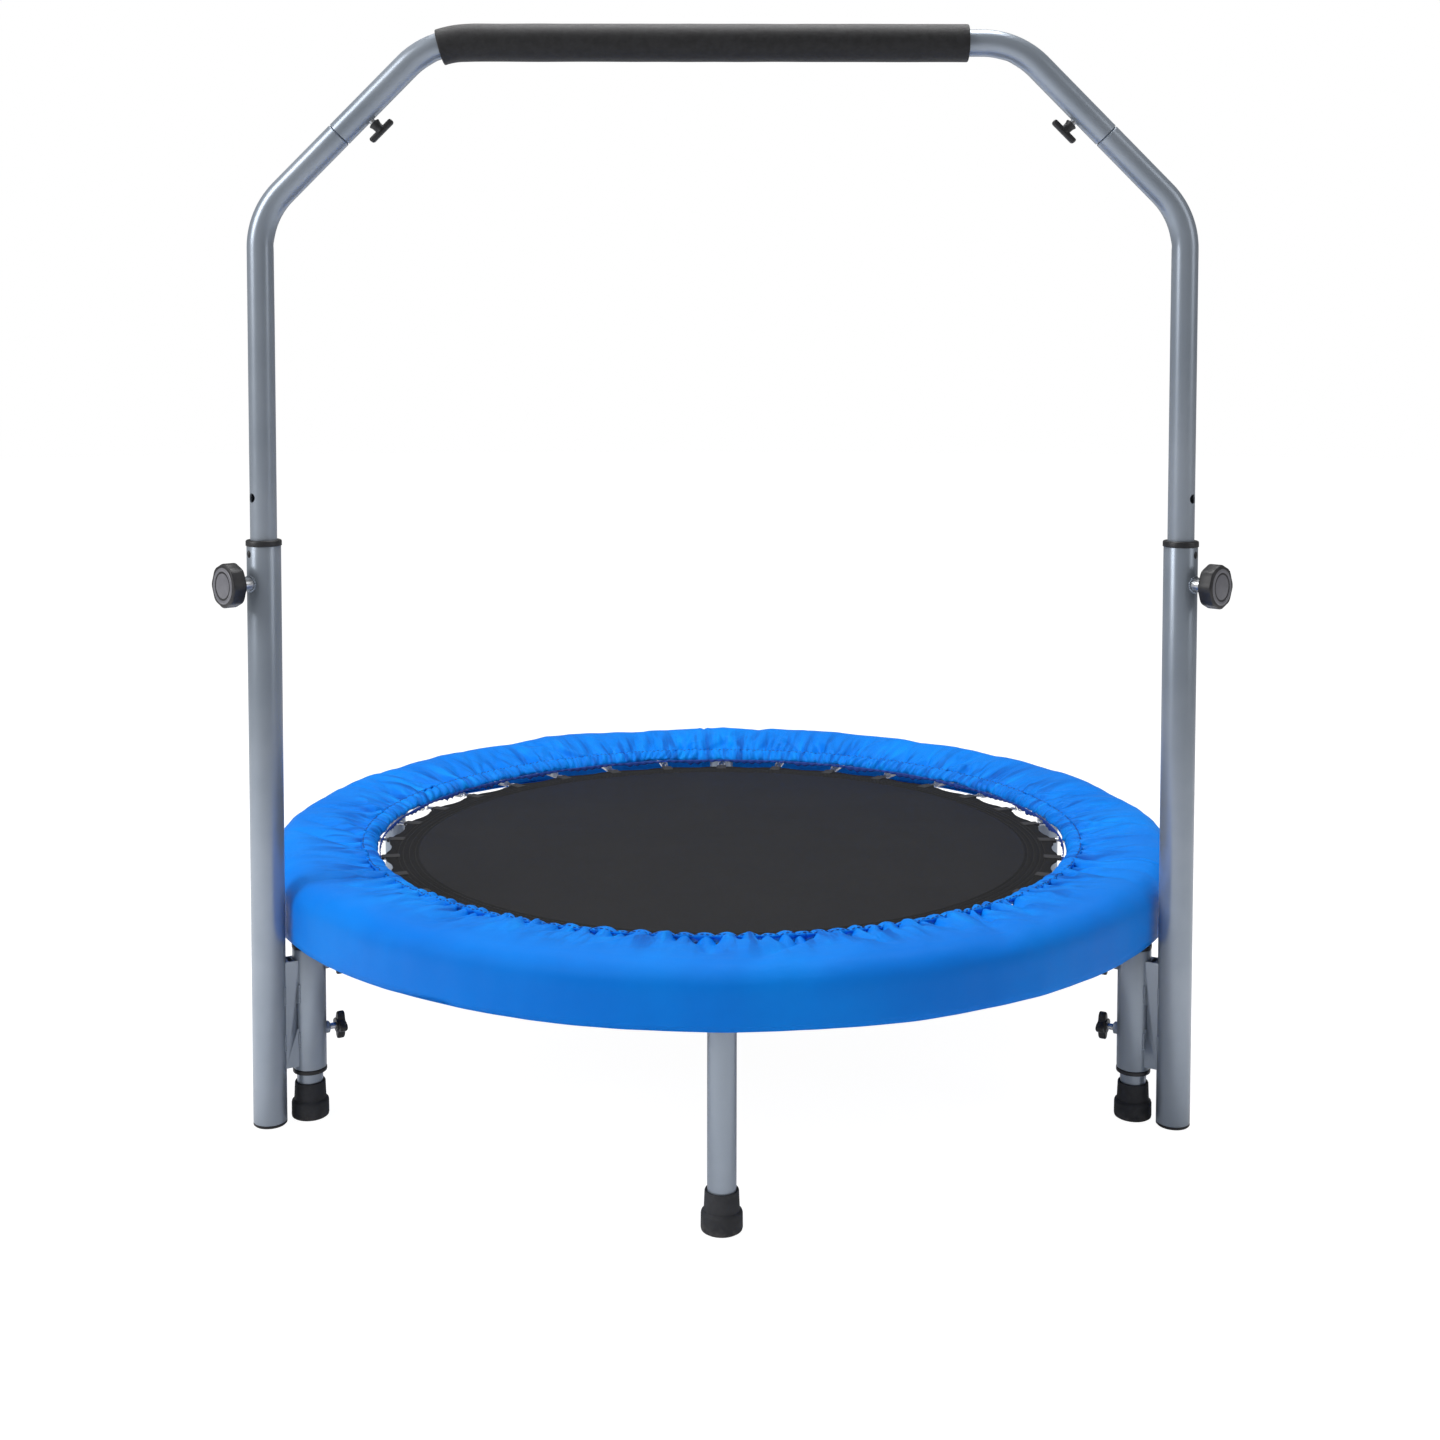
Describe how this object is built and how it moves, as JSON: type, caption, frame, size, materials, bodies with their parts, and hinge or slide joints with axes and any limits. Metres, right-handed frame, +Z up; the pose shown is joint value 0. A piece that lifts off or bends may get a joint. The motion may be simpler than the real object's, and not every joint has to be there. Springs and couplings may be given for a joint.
{
  "type": "mini trampoline",
  "caption": "Round indoor trampoline with a sprung woven mat, a gathered fabric safety cover, short tube legs and a U-shaped, height-adjustable handlebar with a foam grip.",
  "frame": {"origin": "on the floor, under the centre of the mat", "axes": "+Z up; the handlebar stands at the front, on the -Y side, and spans along X"},
  "size_m": [0.97, 0.97, 1.0511],
  "materials": {
    "grey_paint": "light blue-grey powder coat, satin",
    "zinc": "bright zinc plate",
    "black_plastic": "moulded, satin",
    "black_rubber": "matt",
    "black_foam": "soft closed-cell foam, matt",
    "mat_weave": "fine woven polypropylene",
    "blue_cover": "smooth coated polyester, slight sheen"
  },
  "bodies": {
    "base": {"clamp_bracket_left": "grey_paint", "clamp_bracket_right": "grey_paint", "clamp_bush_bottom_left": "black_plastic", "clamp_bush_bottom_right": "black_plastic", "clamp_bush_top_left": "black_plastic", "clamp_bush_top_right": "black_plastic", "clamp_sleeve_left": "grey_paint", "clamp_sleeve_right": "grey_paint", "cover": "blue_cover", "foot_1": "black_rubber", "foot_2": "black_rubber", "foot_3": "black_rubber", "foot_4": "black_rubber", "foot_5": "black_rubber", "foot_6": "black_rubber", "frame_rail": "grey_paint", "leg_1": "grey_paint", "leg_2": "grey_paint", "leg_3": "grey_paint", "leg_4": "grey_paint", "leg_5": "grey_paint", "leg_6": "grey_paint", "leg_socket_1": "grey_paint", "leg_socket_2": "grey_paint", "leg_socket_3": "grey_paint", "leg_socket_4": "grey_paint", "leg_socket_5": "grey_paint", "leg_socket_6": "grey_paint", "pin_boss_left": "zinc", "pin_boss_right": "zinc", "post_cap_left": "black_plastic", "post_cap_right": "black_plastic", "post_collar_left": "black_plastic", "post_collar_right": "black_plastic", "post_left": "grey_paint", "post_right": "grey_paint", "springs": "zinc"},
    "mat": {"mat": "mat_weave"},
    "handle": {"upright_left": "grey_paint", "upright_right": "grey_paint", "top_bar": "grey_paint", "foam_grip": "black_foam"},
    "height_pin_left": {"height_knob_left": "black_plastic"},
    "tee_screw_left": {"tee_knob_left": "black_plastic"},
    "clamp_screw_lower_left": {"clamp_knob_lower_left": "black_plastic"},
    "clamp_screw_upper_left": {"clamp_knob_upper_left": "black_plastic"},
    "height_pin_right": {"height_knob_right": "black_plastic"},
    "tee_screw_right": {"tee_knob_right": "black_plastic"},
    "clamp_screw_lower_right": {"clamp_knob_lower_right": "black_plastic"},
    "clamp_screw_upper_right": {"clamp_knob_upper_right": "black_plastic"}
  },
  "joints": [
    {"name": "mat_bounce", "type": "slide", "parent": "base", "child": "mat", "axis": [0, 0, -1], "range_m": [0, 0.07], "stiffness_N_per_m": 12000, "deforming": ["springs"]},
    {"name": "handle_height", "type": "slide", "parent": "base", "child": "handle", "axis": [0, 0, 1], "range_m": [-0.081, 0.162]},
    {"name": "height_pin_pull_left", "type": "slide", "parent": "base", "child": "height_pin_left", "axis": [-0.7071, -0.7071, 0], "range_m": [0, 0.009], "stiffness_N_per_m": 400},
    {"name": "tee_screw_turn_left", "type": "hinge", "parent": "handle", "child": "tee_screw_left", "pos_m": [-0.33879, -0.25175, 0.96991], "axis": [0.7071, 0, -0.7071], "continuous": true},
    {"name": "clamp_screw_turn_lower_left", "type": "hinge", "parent": "base", "child": "clamp_screw_lower_left", "pos_m": [-0.40184, -0.232, 0.084], "axis": [0.866, 0.5, 0], "continuous": true},
    {"name": "clamp_screw_turn_upper_left", "type": "hinge", "parent": "base", "child": "clamp_screw_upper_left", "pos_m": [-0.40184, -0.232, 0.148], "axis": [0.866, 0.5, 0], "continuous": true},
    {"name": "height_pin_pull_right", "type": "slide", "parent": "base", "child": "height_pin_right", "axis": [0.7071, -0.7071, 0], "range_m": [0, 0.009], "stiffness_N_per_m": 400},
    {"name": "tee_screw_turn_right", "type": "hinge", "parent": "handle", "child": "tee_screw_right", "pos_m": [0.33879, -0.25175, 0.96991], "axis": [-0.7071, 0, -0.7071], "continuous": true},
    {"name": "clamp_screw_turn_lower_right", "type": "hinge", "parent": "base", "child": "clamp_screw_lower_right", "pos_m": [0.40184, -0.232, 0.084], "axis": [-0.866, 0.5, 0], "continuous": true},
    {"name": "clamp_screw_turn_upper_right", "type": "hinge", "parent": "base", "child": "clamp_screw_upper_right", "pos_m": [0.40184, -0.232, 0.148], "axis": [-0.866, 0.5, 0], "continuous": true}
  ]
}
